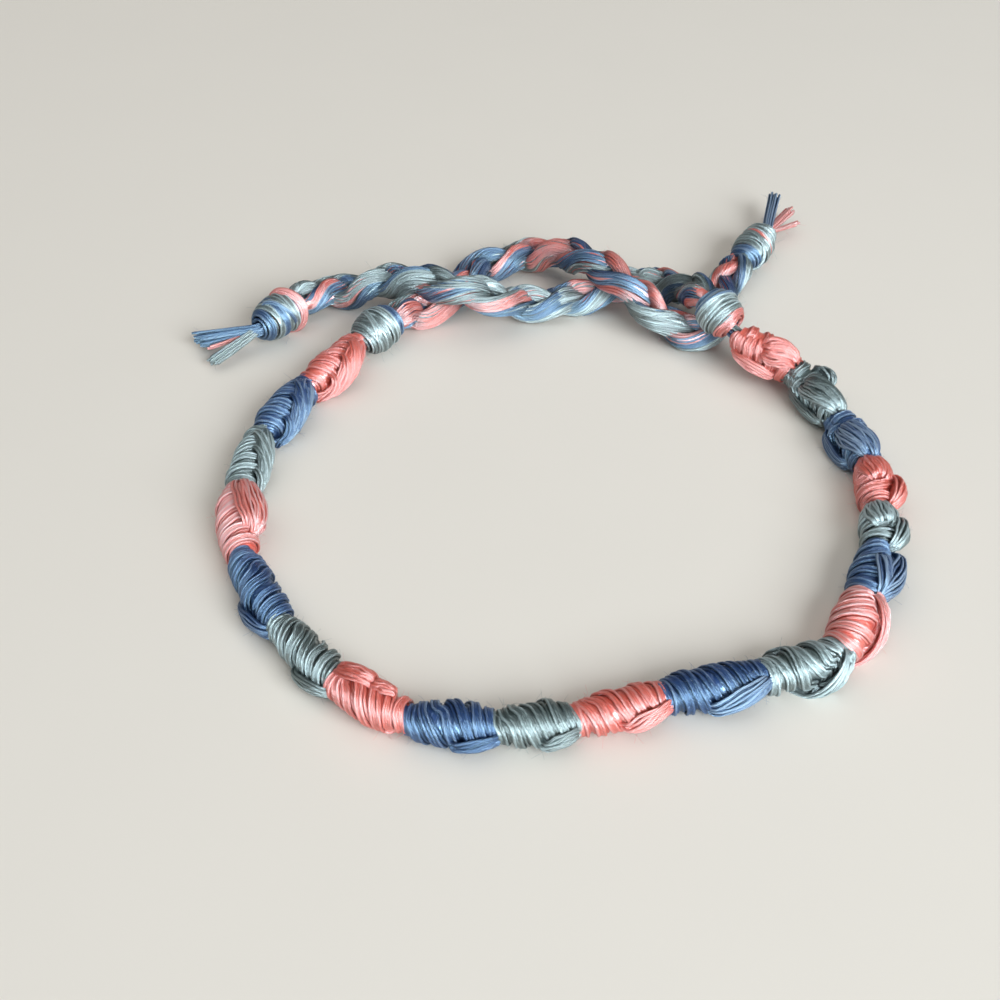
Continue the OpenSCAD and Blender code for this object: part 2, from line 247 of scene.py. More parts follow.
class Skein:
    """Collects plies of floss and loose fibres, and makes them one mesh."""

    def __init__(self, seed, loose=False):
        """The painted highlight or shade set in bright is added to the tones of the plies laid after it is
        set.
        """
        self.rng = np.random.default_rng(seed)
        self.loose, self.bright = loose, 0.0
        self.places, self.faces, self.colour = [], [], []
        self.run, self.turn, self.tone, self.fibre, self.crease_shade = [], [], [], [], []
        self.count = 0
        self.roots = []

    def tube(self, points, out, radius, colour, tone, sides=6, fibre=0.0, crease_shade=0.0):
        """A tube round the points. out is the side of it that faces outwards. The radius may vary, and so may
        crease, the painted shade of the creases, which is 1 deep between strands."""
        n = len(points)
        ways = unit(np.gradient(points, axis=0))
        side = unit(np.cross(ways, out))
        out = np.cross(side, ways)
        angle = 2 * np.pi * np.arange(sides) / sides
        radius = np.broadcast_to(radius, n)[:, None, None]
        spokes = np.cos(angle)[None, :, None] * side[:, None] + np.sin(angle)[None, :, None] * out[:, None]
        places = points[:, None] + radius * spokes
        places[..., 2] = np.maximum(places[..., 2], 0)
        ring, spoke = np.meshgrid(np.arange(n - 1), np.arange(sides), indexing="ij")
        here = self.count + ring * sides + spoke
        there = self.count + ring * sides + (spoke + 1) % sides
        self.faces.append(np.stack([here, there, there + sides, here + sides], axis=-1).reshape(-1, 4))
        self.colour.append(np.full(len(self.faces[-1]), COLOURS.index(colour)))
        self.places.append(places.reshape(-1, 3))
        run = travelled(points) + self.rng.uniform(0, 50)
        self.run.append(np.repeat(run, sides))
        self.turn.append(np.tile(np.stack([np.cos(angle), np.sin(angle), 0 * angle], axis=1), (n, 1)))
        self.tone.append(np.full(n * sides, tone))
        self.fibre.append(np.full(n * sides, fibre))
        self.crease_shade.append(np.repeat(np.broadcast_to(crease_shade, n), sides))
        self.count += n * sides

    def ply(self, points, out, width, colour, tones=(0.0, 1.0), crease_shade=0.0):
        """One ply of floss, which swells and thins a little along its length. Its tone lies between tones."""
        if len(points) < 4:
            return
        points[:, 2] = np.maximum(points[:, 2], RESTING * np.max(width))
        radius = width / 2 * (1 + wander(self.rng, len(points), 5, 0.05))
        self.tube(points, out, radius, colour, self.rng.uniform(*tones) + self.bright, crease_shade=crease_shade)
        self.roots.append((points, unit(np.asarray(out, float)), colour))

    def fuzz(self, count):
        """Loose fibres that stand out of the plies."""
        lengths = np.array([len(points) for points, _, _ in self.roots], float)
        for _ in range(count):
            points, out, colour = self.roots[self.rng.choice(len(self.roots), p=lengths / lengths.sum())]
            i = self.rng.integers(1, len(points) - 1)
            way = unit(points[i + 1] - points[i - 1])
            start = points[i] + 0.1 * out[i]
            lift = unit(out[i] * self.rng.uniform(0.25, 1.0) + way * self.rng.normal(0, 0.9)
                        + self.rng.normal(0, 0.3, 3))
            bend = self.rng.normal(0, 0.6, 3)
            t = np.linspace(0, 1, 4)[:, None]
            length = FIBRE_LENGTH * self.rng.uniform(0.25, 1.0) ** 2
            hair = start + length * (lift * t + bend * t**2)
            # Any direction across the fibre does for a round tube
            across = np.tile(unit(np.cross(lift, (0.31, 0.47, 0.83))), (4, 1))
            self.tube(hair, across, FIBRE_RADIUS, colour, self.rng.uniform(0, 1), sides=3, fibre=1.0)

    def make(self, name):
        """The mesh object of everything collected."""
        places = np.vstack(self.places)
        faces = np.vstack(self.faces)
        mesh = bpy.data.meshes.new(name)
        mesh.vertices.add(len(places))
        mesh.vertices.foreach_set("co", (places * MM).ravel())
        mesh.loops.add(faces.size)
        mesh.loops.foreach_set("vertex_index", faces.ravel())
        mesh.polygons.add(len(faces))
        mesh.polygons.foreach_set("loop_start", np.arange(len(faces)) * 4)
        colours = np.concatenate(self.colour)
        used = sorted(set(colours.tolist()))
        for index in used:
            mesh.materials.append(floss(COLOURS[index], self.loose))
        mesh.polygons.foreach_set("material_index", np.searchsorted(used, colours))
        mesh.polygons.foreach_set("use_smooth", np.ones(len(faces), bool))
        for title in ("run", "tone", "fibre", "crease_shade", "turn"):
            kind, field = ("FLOAT_VECTOR", "vector") if title == "turn" else ("FLOAT", "value")
            values = np.concatenate(getattr(self, title)).astype(np.float32)
            mesh.attributes.new(title, kind, "POINT").data.foreach_set(field, values.ravel())
        mesh.update()
        mesh.validate()
        return add_object(name, mesh)


def settle(piece, slot, *nodes):
    """The piece rides with the bracelet and stands for its nodes. The slot is not used."""
    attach(piece, BODY)
    slot + "_thread"
    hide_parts(*nodes)
    return piece


class Value:
    """A socket that holds a number, so that shader maths reads as plain arithmetic."""

    def __init__(self, net, socket):
        self.net = net
        self.socket = socket

    def __add__(self, other):
        return self.net.math("ADD", self, other)

    def __mul__(self, other):
        return self.net.math("MULTIPLY", self, other)

    def __sub__(self, other):
        return self.net.math("SUBTRACT", self, other)

    __radd__ = __add__


class Net:
    """The node tree of one material."""

    def __init__(self, name):
        self.material = bpy.data.materials.new(name)
        self.material.use_nodes = True
        self.tree = self.material.node_tree
        self.tree.nodes.clear()

    def put(self, node, socket, value):
        """Sets a socket to a number, a colour or a link."""
        target = next(s for s in node.inputs if s.identifier == socket or s.name == socket and s.enabled)
        if isinstance(value, Value):
            self.tree.links.new(value.socket, target)
        else:
            target.default_value = value

    def node(self, kind, settings=None, out=0, **values):
        """A node of that kind, with its settings made first; its output number out comes back."""
        node = self.tree.nodes.new(kind)
        for key, value in (settings or {}).items():
            setattr(node, key, value)
        for key, value in values.items():
            self.put(node, key.replace("__", " "), value)
        return Value(self, node.outputs[out]) if node.outputs else None

    def math(self, operation, *terms):
        """A Math node on numbers or values."""
        node = self.tree.nodes.new("ShaderNodeMath")
        node.operation = operation
        for socket, term in zip(node.inputs, terms):
            if isinstance(term, Value):
                self.tree.links.new(term.socket, socket)
            else:
                socket.default_value = term
        return Value(self, node.outputs[0])

    def blend(self, factor, first, second):
        """A colour between two colours."""
        return self.node("ShaderNodeMix", {"data_type": "RGBA"}, out=2,
                         Factor_Float=factor, A_Color=first, B_Color=second)

    def between(self, value, low, high):
        """0 where the value is at low or under, 1 at high or over, and smooth between them."""
        return self.node("ShaderNodeMapRange", {"interpolation_type": "SMOOTHSTEP"},
                         Value=value, From__Min=low, From__Max=high)

    def attribute(self, name, out=2):
        """What a skein stores at its points: a number, or a direction if out is 1."""
        return self.node("ShaderNodeAttribute", {"attribute_name": name}, out=out)


def rgba(colour):
    """The colour as sockets take it."""
    return (*colour, 1.0)


# How the three flosses differ: the share of their colour that is left in the painted shade of the creases,
# how far the painted highlights on the streaks of tight and of loose threads turn pale, their index of
# refraction and the tint of their gloss
FINISHES = {
    "coral": (0.75, 0.34, 0.34, 1.9, (1.0, 0.92, 0.94)),
    "blue": (0.20, 0.34, 0.42, 1.75, (0.60, 0.84, 1.0)),
    "sage": (0.16, 0.55, 0.85, 2.05, (0.92, 1.0, 1.0)),
}
# What pulling tight changes: how far a ply's tone adds painted highlight to its streaks, where the painted
# highlight on the streaks begins, the roughness before the gloss, and what the index of refraction gains
TIGHT = (0.35, 0.68, 0.42, 0.0)
LOOSE = (0.50, 0.70, 0.40, 0.3)
# Colour of the painted highlight on the palest streaks
PAINTED_LUSTRE = np.array([0.78, 0.95, 1.0])


def floss(name, loose):
    """Cotton floss of one colour: lustrous plies of twisted fibres, each ply a little paler or darker.
    Shade is painted into the creases between plies and highlights along the streaks; loose threads, in the
    ties and the knots, get stronger painted highlights than those pulled tight."""
    title = name + ("_loose_floss" if loose else "_floss")
    if title in bpy.data.materials:
        return bpy.data.materials[title]
    colours = bpy.context.scene.bracelet_colours
    base = np.array(getattr(colours, name))
    crease_shade, tight_highlight, loose_highlight, ior, tint = FINISHES[name]
    tone_to_highlight, highlight_from, roughness, ior_gain = LOOSE if loose else TIGHT
    deep = rgba(base * crease_shade)
    pale = rgba(base + (PAINTED_LUSTRE - base) * (loose_highlight if loose else tight_highlight))
    net = Net(title)
    run, tone, fibre, crease_shade_amount = [net.attribute(stored) for stored in ("run", "tone", "fibre", "crease_shade")]
    cos_turn = net.node("ShaderNodeSeparateXYZ", Vector=net.attribute("turn", 1))
    sin_turn = Value(net, cos_turn.socket.node.outputs[1])
    # Fibres run along the ply and wind slowly round it
    wound = run * 2.6
    slant_sin = net.math("SINE", wound)
    slant_cos = net.math("COSINE", wound)
    across = cos_turn * slant_cos + sin_turn * slant_sin
    over = sin_turn * slant_cos - cos_turn * slant_sin
    streak_place = net.node("ShaderNodeCombineXYZ", X=run * 0.3 + tone * 40, Y=across * 2.4, Z=over * 2.4)
    streaks = net.node("ShaderNodeTexNoise", Vector=streak_place, Scale=1.0, Detail=3.0, Roughness=0.6)
    round_it = net.math("ARCTAN2", sin_turn, cos_turn)
    fibres = net.math("ABSOLUTE", net.math("SINE", round_it * 6 + run * 9 + tone * 20 + streaks * 4))
    # Two smaller yarns are twisted into each ply
    wind = run * 4.6 + tone * 6
    yarns = net.math("ABSOLUTE", cos_turn * net.math("COSINE", wind) + sin_turn * net.math("SINE", wind))
    patches = net.node("ShaderNodeTexNoise", Scale=330.0, Detail=2.0,
                       Vector=net.node("ShaderNodeTexCoord", out=3))
    # Painted highlight: where the streaks and the ply's tone are high, the colour turns pale
    light = net.between(streaks * 0.9 + tone * tone_to_highlight + patches * 0.25, highlight_from, 1.10)
    # Painted shade in the grooves between the yarns
    groove_shade_mask = net.between(yarns, 0.0, 0.5)
    # Painted shade: plies are darker where they press against each other
    unshaded_side = net.between(sin_turn, 0.0, 0.95)
    # Each ply's tone, darkened by the painted shade of the grooves and of the sides that face other plies
    tone_and_painted_shade = (groove_shade_mask * 0.35 + tone * 0.50 + 0.15) * (unshaded_side * 0.8 + 0.2)
    colour = net.blend(tone_and_painted_shade, deep, rgba(base * 1.12))
    # Painted highlight on the outward sides of the plies
    colour = net.blend(light * unshaded_side * (tone * 0.4 + 0.4), colour, pale)
    # Painted shade where the strands of a tie press against each other
    colour = net.blend(crease_shade_amount * 0.85, colour, rgba(base * crease_shade * 0.4))
    colour = net.blend(fibre * 0.5, colour, rgba(base + (1 - base) * 0.45))
    height = yarns * 0.35 + streaks * 0.3 + fibres
    bump = net.node("ShaderNodeBump", Strength=1.0, Distance=0.000026, Height=height)
    shader = net.node("ShaderNodeBsdfPrincipled", Base__Color=colour, Normal=bump,
                      Roughness=roughness - colours.gloss * 0.36 + streaks * 0.16, IOR=ior + ior_gain,
                      Specular__Tint=rgba(tint), Specular__IOR__Level=1.0, Metallic=0.15,
                      Sheen__Weight=0.06, Sheen__Roughness=0.35, Sheen__Tint=pale)
    net.node("ShaderNodeOutputMaterial", Surface=shader)
    return net.material


def knot_way(name):
    """The way that a knot points, away from the band or from its tie."""
    _, azimuth, tilt, _, _ = KNOTS[name]
    return pointing(azimuth, tilt)


def knot_place(name, reach=0.0):
    """The knot's middle, or the point that far beyond its far end, or beyond its near end if negative."""
    middle, _, _, length, _ = KNOTS[name]
    offset = math.copysign(length / 2 + abs(reach), reach) if reach else 0
    return np.array(middle) - PLAN_MID + knot_way(name) * offset


def band_line():
    """The band's middle, and the length run at each block's first end and at the last block's end."""
    keys = [KNOTS["start"][0]] + [row[:3] for row in BLOCKS] + [BAND_END, KNOTS["finish"][0]]
    keys = np.array(keys) - PLAN_MID
    line = curve_through(keys, 0.2)
    run = travelled(line)
    marks = [run[np.argmin(np.linalg.norm(line - key, axis=1))] for key in keys[1:-1]]
    return line, marks


class Sleeve:
    """The round surface of a stretch of band or of a knot. Places on it are u along it from its first end,
    v round it at the radius round_at, and h out of it."""

    def __init__(self, line, start, length, radius_of, round_at):
        self.line, self.start, self.length = line, start, length
        self.radius_of, self.round_at = radius_of, round_at

    def place(self, u, v, h):
        """Points on the surface and the directions out of it."""
        centre = along(self.line, self.start + u)
        ways = unit(along(self.line, self.start + u + 0.3) - along(self.line, self.start + u - 0.3))
        out = turned(*side_and_up(ways), v / self.round_at)
        reach = self.radius_of(np.clip(u / self.length, 0, 1)) + h
        return centre + out * reach[:, None], out


def oval_reach(wide, thin, angle):
    """Reach of an oval's edge at the angle from its wide way."""
    return wide * thin / np.hypot(thin * np.cos(angle), wide * np.sin(angle))


def lay_ribbon(skein, sleeve, keys, plies, width, colours):
    """Lays a ribbon of plies on a sleeve. A key is u, v, h and how flat the ribbon lies there, from 1 where
    the plies lie side by side down to 0 where they are gathered into a round bundle."""
    u, v, h, flat = curve_through(keys, PLY_STEP).T
    du, dv = np.gradient(u), np.gradient(v)
    length = np.maximum(np.hypot(du, dv), 1e-6)
    roll = wander(skein.rng, len(u), 10, 0.2)
    for (across, lift), colour in zip(plies, colours):
        wobble = wander(skein.rng, len(u), 7, 0.05)
        q = width * (across * (0.45 + 0.35 * flat) + roll) + wobble
        rise = width * (lift * (1.15 - 0.35 * flat) - 0.18 * across**2 * (0.3 + 0.7 * flat)) + wobble * 0.6
        points, out = sleeve.place(u + q * dv / length, v - q * du / length, h + rise)
        # Painted shade and highlight: plies that lie lower take darker tones, and raised plies paler ones
        skein.ply(points, out, width, colour, (0.5, 1.0) if lift >= 0 else (0.0, 0.45))


# Plies across a ribbon of floss: places and lifts in spacings of the plies
HITCH_PLIES = [(-2, -0.45), (-1.2, 0.1), (-0.4, -0.4), (0.4, -0.4), (1.2, 0.1), (2, -0.45)]

# Blocks whose long floats lie otherwise than on the ridge alone. A row gives the share of the block and the
# angle where the floats begin, those where they end, how many degrees they spread to each side, and their
# height as a share of the ridge's
FLOATS = {
    3: [(-0.04, 118, 0.80, 138, 34, 1.1)],
    4: [(0.46, 342, 1.1, 352, 26, 0.9)],
    5: [(0.5, 346, 1.1, 352, 24, 0.8)],
    6: [(-0.06, 106, 0.5, 114, 24, 0.9), (0.42, 122, 0.82, 118, 16, 0.4)],
    7: [(0.48, 346, 1.08, 358, 24, 0.7)],
    8: [(0.5, 346, 1.08, 358, 24, 0.7)],
    9: [(0.46, 350, 1.1, 386, 24, 0.7)],
    10: [(0.38, 346, 1.08, 396, 25, 0.75)],
    13: [(0.0, 36, 1.0, 4, 24, 1.0), (0.0, 42, 0.75, 80, 15, 0.7)],
    14: [(0.38, 84, 1.04, 94, 46, 0.55), (-0.04, 44, 0.72, 18, 24, 1.0)],
    15: [(0.42, 85, 1.04, 95, 46, 0.6), (-0.04, 38, 0.66, 16, 22, 1.1)],
    16: [(-0.04, 92, 0.68, 122, 44, 0.8), (0.1, 214, 0.92, 205, 22, 0.9)],
    17: [(-0.06, 95, 0.68, 128, 42, 0.8), (0.0, 214, 0.85, 205, 22, 0.7), (0.42, 40, 0.82, 48, 16, 0.9)],
    18: [(-0.05, 96, 0.64, 126, 44, 0.7), (0.15, 212, 1.0, 208, 22, 0.6)],
}
# Shares of a float at which its height and its angle are worked out
FLOAT_SHARES = (0, 0.1, 0.3, 0.5, 0.7, 0.9, 1)

# How far the height of a block's wraps rises and falls along it, and how deep the turns under them lie
LUMP, UNDER_WRAPS = 0.10, 0.36


def hitch_block(index, line, marks, sizes):
    """One block of half hitches. Each thread wraps once round the core, leaning back as it goes, climbs the
    ridge on one side and runs on along it in a float, whose end is tucked under the ridge's other side."""
    _, _, _, girth, ridge, start_angle, turn, wraps_painted_light, floats_painted_light = BLOCKS[index]
    colour = COLOURS[index % 3]
    skein = Skein(100 + index)
    # Painted highlight or shade added to the tones of this block's wraps
    skein.bright = wraps_painted_light
    rng = skein.rng
    ply = sizes.ply_width / MM
    radius = sizes.band_width / MM / 2
    crest = sizes.ridge_height / MM * ridge
    length = marks[index + 1] - marks[index]
    count = round(length / (sizes.hitch_pitch / MM))
    pitch = length / count
    lean = sizes.wrap_lean / MM
    edge = 0.3 * ply

    def body(share):
        """Radius at a share of the block, which is fullest at its middle."""
        return radius * girth * (1.10 - 0.26 * np.abs(2 * share - 1) ** 2.5) - ply / 2

    sleeve = Sleeve(line, marks[index], length, body, radius)
    degree = math.radians(1) * radius

    def key(u, beta, h, flat, about):
        """A key at u, beta degrees past the ridge, where the ridge is taken at the place about."""
        u = min(max(u, edge), length - edge)
        at = start_angle + turn * min(max(about, 0), length) / length
        return u, (at + beta) * degree, h, flat

    def crest_at(u):
        """Height of the ridge, which is lowest where two blocks meet."""
        return crest * (0.45 + 0.55 * math.sin(math.pi * min(max(u / length, 0), 1)) ** 0.6)

    def arch(beta, spread):
        """Share of that height at beta degrees past the middle of floats that spread so far to each side."""
        return math.sqrt(max(0, 1 - (beta / (spread + 6)) ** 2))

    lump_run, lump_phase = rng.uniform(2.4, 3.4), rng.uniform(0, 2 * math.pi)
    # Turns underneath, which show only where the hitches part
    under = np.linspace(0, length, 24)
    skein.tube(along(line, marks[index] + under), np.tile((0, 0, 1.0), (len(under), 1)),
               body(under / length) - UNDER_WRAPS, colour, 0.5, sides=24)
    for k in range(count):
        middle = (k + 0.5) * pitch
        slant = lean * math.sin(math.pi * (k + 0.5) / count) ** 0.7
        first, last = middle + slant / 2, middle - slant / 2
        sway = rng.normal(0, 0.13, 3)
        swell = rng.normal(0.02, 0.06, 3) + LUMP * math.sin(2 * math.pi * middle / lump_run + lump_phase)
        keys = [
            key(first + 0.05, -14, -0.60, 0.8, first),
            key(first + 0.05, 4, -0.20, 1.0, first),
            key(first, 36, swell[0] - 0.02, 1.0, first),
            key(first - slant * 0.16 + sway[0], 80, swell[0], 1.0, middle),
            key(first - slant * 0.42 + sway[1], 150, swell[1], 1.0, middle),
            key(first - slant * 0.68 + sway[2], 225, swell[2], 1.0, middle),
            key(first - slant * 0.92, 290, swell[2], 1.0, last),
        ]
        # The thread dives under the ridge, or climbs it and runs on along it as a float
        if k < 2 or k % 2 or index in FLOATS:
            keys += [key(last, 330, -0.05, 1.0, last), key(last, 356, -0.25, 1.0, last),
                     key(last + 0.1, 372, -0.6, 0.8, last)]
        else:
            run = sizes.float_length / MM * rng.uniform(0.85, 1.1)
            keys.append(key(last, 314, 0.15, 1.0, last))
            for share, beta in ((0.12, 328), (0.32, 341), (0.56, 351), (0.80, 360)):
                u = last + run * share
                keys.append(key(u, beta, arch(beta - 352, 32) * crest_at(u) + 0.12, 0.9, u))
            keys.append(key(last + run, 368, 0.2 * crest, 0.5, last + run))
        lay_ribbon(skein, sleeve, keys, HITCH_PLIES, ply, [colour] * len(HITCH_PLIES))

    # Painted highlight or shade added to the tones of the floats
    skein.bright = floats_painted_light
    for row in FLOATS.get(index, [(0.0, start_angle - 6, 1.07, start_angle + turn, 30, 1.0)]):
        begin, begin_angle, end, end_angle, spread, height = row
        # A bundle under the floats fills the ridge
        share = np.linspace(0.06, 0.94, 16)
        u = length * (begin + (end - begin) * share)
        at = begin_angle + (end_angle - begin_angle) * share
        thick = 0.42 * height * crest * np.sin(np.pi * share) ** 0.5 + 0.10
        points, out = sleeve.place(u, at * degree, thick * 0.35)
        skein.tube(points, out, thick, colour, 0.4, sides=10)
        pairs = round(spread / 3.4)
        for j in range(pairs):
            place = 2 * j / (pairs - 1) - 1
            u0 = length * (begin + rng.uniform(0.0, 0.1))
            u1 = length * (end - rng.uniform(0.0, 0.1))
            keys = []
            for share in FLOAT_SHARES:
                u = u0 + (u1 - u0) * share
                bow = math.sin(math.pi * share) ** 0.6
                beta = place * spread * (0.6 + 0.4 * bow) + 10 * (share - 0.5) + rng.normal(0, 1.5)
                at = begin_angle + (end_angle - begin_angle) * (u / length - begin) / (end - begin)
                h = arch(place * spread, spread) * height * crest * (0.15 + 0.85 * bow)
                tucked = 0.5 if share in (0, 1) else 0
                keys.append((u, (at + beta) * degree, h - tucked + rng.normal(0.02, 0.03), 1.0))
            lay_ribbon(skein, sleeve, keys, [(-0.5, 0.1), (0.5, -0.25)], ply, [colour] * 2)
    skein.fuzz(int(BAND_FUZZ * length))
    piece = skein.make(f"{colour}_hitches_{index + 1:02d}")
    return settle(piece, colour, f"block_{index + 1:02d}_{colour}")


def carrying_threads(line, marks, sizes):
    """The bundle that the hitches are knotted round, which shows only where they part."""
    skein = Skein(300)
    ply = sizes.ply_width / MM * 1.1
    at = np.arange(marks[0] - 1.6, marks[-1] + 1.6, 0.8)
    centre = along(line, at)
    side, up = side_and_up(unit(np.gradient(centre, axis=0)))
    shades = ["blue"] * 5 + ["coral"] * 2 + ["sage"] * 2
    for j, colour in enumerate(shades):
        out = turned(side, up, 2 * np.pi * j / len(shades) + at * 0.1)
        skein.ply(centre + out * 0.66, out, ply, colour)
    return settle(skein.make("carrying_threads"), "blue", "core_threads")


# The three strands of each tie: how many plies of each colour lie round a strand, the angle of the first of
# them where the tie leaves its knot, and the degrees that they wind round the strand in a millimetre
STRANDS = {
    "left_tie_braid": [((("sage", 13), ("blue", 7), ("coral", 6)), 290, 17),
                       ((("coral", 6), ("blue", 20)), 213, 12),
                       ((("coral", 14), ("sage", 5), ("blue", 7)), 202, 20)],
    "right_tie_braid": [((("sage", 6), ("coral", 7), ("blue", 7), ("sage", 6)), 135, 18.8),
                        ((("sage", 5), ("blue", 9), ("sage", 12)), 2, 14.5),
                        ((("coral", 5), ("blue", 9), ("sage", 7), ("blue", 5)), 173, 24)],
}

# Loose threads that lie over a strand for a while: strand, lengths at which they begin and end, the angles
# between which they lie (0 to the right of the tie's way, 90 up) and their colour
COVERS = {
    "left_tie_braid": [
        (1, -1.4, 3.8, -20, 100, "coral"),
        (0, 0.2, 9.5, -50, 110, "coral"),
        (0, 12.0, 19.0, 10, 136, "blue"),
        (2, 11.5, 16.0, -44, 110, "blue"),
        (0, 21.5, 29.0, 10, 136, "coral"),
        (0, 33.0, 39.5, 30, 136, "coral"),
    ],
    "right_tie_braid": [
        (0, 8.5, 14.0, 60, 190, "sage"),
        (0, 18.0, 22.5, 60, 190, "coral"),
        (1, 20.0, 24.5, 60, 150, "sage"),
        (2, 24.0, 29.5, 60, 190, "sage"),
        (2, 32.0, 40.5, 44, 115, "sage"),
        (0, 45.0, 54.0, 40, 140, "sage"),
    ],
}
# Degrees from one thread of a cover to the next
COVER_SPACING = 11
# How far a braid's threads run on into the knots at its ends
TUCK = 1.1


def braid(name, seed, leaves, route, ends, nodes, over, phase, sizes):
    """A tie: three strands of mixed plies, braided, from one knot to another. Outer strands pass over the
    middle of the braid if over is 1, and under it if it is -1."""
    skein = Skein(seed, loose=True)
    ply = sizes.tie_ply_width / MM
    route = np.vstack([knot_place(leaves), knot_place(leaves, 0.1), np.array(route) - PLAN_MID,
                       knot_place(ends, -0.1), knot_place(ends)])
    line = curve_through(route, 0.5)
    run = travelled(line)
    starts = run[np.argmin(np.linalg.norm(line - route[1], axis=1))]
    stops = run[np.argmin(np.linalg.norm(line - route[-2], axis=1))]
    at = np.arange(starts - TUCK, stops + TUCK + 0.25, 0.5)
    s = at - starts
    total = stops - starts
    near_knot = np.clip(np.minimum(s, total - s) / 3 + 0.7, 0.6, 1)
    wide = sizes.strand_width / MM / 2 - ply / 2
    thin = sizes.strand_thickness / MM / 2 - ply / 2
    swing_w = (sizes.braid_width / MM / 2 - thin - ply / 2) * near_knot
    swing_h = (sizes.braid_height / MM / 2 - (wide + thin) / 2 - ply / 2) * near_knot
    centre = along(line, at)
    ways = unit(along(line, at + 0.6) - along(line, at - 0.6))
    side, up = side_and_up(ways)
    middles = []
    for strand in range(3):
        swing = 2 * np.pi * (s / (sizes.braid_pitch / MM) + strand / 3) + math.radians(phase)
        # A strand is flattened against the others, and its flat side turns as it passes from edge to edge
        middles.append((swing_w * np.sin(swing), -over * swing_h * np.sin(2 * swing),
                        math.radians(90) - over * math.radians(55) * np.cos(swing)))

    def crease_shade(strand, across, above, part=slice(None)):
        """Painted shade: how deep places beside the tie's middle lie against the other two strands, from 0 to
        1.
        """
        deepest = 0.0
        for other_x, other_y, other_lie in middles[:strand] + middles[strand + 1:]:
            dx, dy, lean = across - other_x[part], above - other_y[part], other_lie[part]
            along_it = (dx * np.cos(lean) + dy * np.sin(lean)) / (wide + ply)
            through_it = (dy * np.cos(lean) - dx * np.sin(lean)) / (thin + ply)
            deepest = np.maximum(deepest, 1 - (np.hypot(along_it, through_it) - 1) / 0.4)
        return np.clip(deepest, 0, 1)

    for strand, (mix, first, winding) in enumerate(STRANDS[name]):
        shades = [colour for colour, number in mix for _ in range(number)]
        x, y, lie = middles[strand]
        middle = centre + side * x[:, None] + up * y[:, None]
        # Threads inside the strand close the gaps between the plies round it
        for half in (-1, 1):
            inner = turned(side, up, lie) * (half * (wide - thin) * near_knot)[:, None]
            skein.tube(middle + inner, up, thin - ply * 0.3, shades[0], 0.5, sides=8)
        for j, colour in enumerate(shades):
            around = np.radians(first + 360 * j / len(shades) + winding * s)
            around = around + wander(skein.rng, len(s), 5, 0.09)
            from_flat = np.arctan2(math.sqrt(thin / wide) * np.sin(around - lie), np.cos(around - lie))
            bulge = (oval_reach(wide, thin, from_flat) * near_knot + skein.rng.uniform(-0.10, 0.06)
                     + wander(skein.rng, len(s), 5, 0.02))
            around = lie + from_flat
            out = turned(side, up, around)
            # Painted shade on the plies that lie against the other strands
            deep = crease_shade(strand, x + np.cos(around) * bulge, y + np.sin(around) * bulge)
            skein.ply(middle + out * bulge[:, None], out, ply * (0.4 + 0.6 * near_knot), colour, crease_shade=deep)
        for which, first_s, last_s, low, high, colour in COVERS[name]:
            if which != strand:
                continue
            number = round((high - low) / COVER_SPACING)
            part = (s > first_s - 0.5) & (s < last_s + 0.5)
            # The cover's ends sink in among the strand's own plies
            risen = np.clip(np.minimum(s - first_s, last_s - s)[part] + 0.5, 0, 1)
            for j in range(number):
                around = np.radians(low + (high - low) * j / (number - 1))
                around = around + wander(skein.rng, part.sum(), 6, 0.06)
                bulge = oval_reach(wide, thin, around - lie[part]) * near_knot[part]
                bulge = bulge + ply * (1.5 * risen - 0.9)
                out = turned(side[part], up[part], around)
                across, above = x[part] + np.cos(around) * bulge, y[part] + np.sin(around) * bulge
                skein.ply(middle[part] + out * bulge[:, None], out, ply, colour,
                          crease_shade=crease_shade(strand, across, above, part))
    skein.fuzz(int(TIE_FUZZ * total))
    piece = settle(skein.make(name), "blue", *nodes)
    path = along(line, np.linspace(starts, stops, 120)) * MM
    return piece, path, total * MM


# Turns round each knot, side by side from its near end to its far end: how far they lean, the angle at which
# their ends are hidden, and the colour of each turn
TURNS = {
    "start": (0.3, 285, ["sage", "sage", "sage", "sage", "sage", "blue"]),
    "finish": (0.3, 300, ["coral", "sage", "sage", "sage", "sage", "blue"]),
    "left_end": (0.2, 320, ["sage", "blue", "sage", "sage", "blue", "sage", "blue"]),
    "right_end": (0.3, 285, ["blue", "blue", "sage", "sage", "coral", "sage", "sage", "sage"]),
}

# Threads that lie over those turns: u and angle at their ends, how far they bow towards the near end, how far
# they stand out, and their colours
OVER_TURNS = {
    "start": [(2.2, -60, 2.3, 160, -0.2, 0.25, ["blue"] * 2), (-1.7, 20, 0.4, 150, 0.3, 0.25, ["sage"] * 3)],
    "finish": [(0.2, 20, 1.6, 210, 0.2, 0.25, ["sage", "blue", "blue"])],
    "left_end": [(-0.6, 30, -0.4, 275, 1.8, 0.6, ["coral"] * 9),
                 (1.6, 60, -0.6, 190, 0.2, 0.3, ["sage", "blue", "blue"])],
    "right_end": [(-2.8, -50, 0.4, 150, -0.2, 0.3, ["sage", "sage", "blue"])],
}

# A turn's degrees past the place where its ends are hidden, and its height there
TURN_KEYS = ((-14, -0.7), (8, -0.2), (40, 0), (100, 0.05), (180, 0.08), (260, 0.05), (320, 0), (352, -0.25),
             (374, -0.7))
# Shares of the way of a thread over the turns, with the share of its height there or its depth if negative
OVER_KEYS = ((-0.12, -0.8), (-0.02, -0.2), (0.15, 0.8), (0.35, 1), (0.5, 1), (0.65, 1), (0.85, 0.8),
             (1.02, -0.2), (1.12, -0.8))
# Threads that run through a knot inside its turns
THREADS_THROUGH = 14


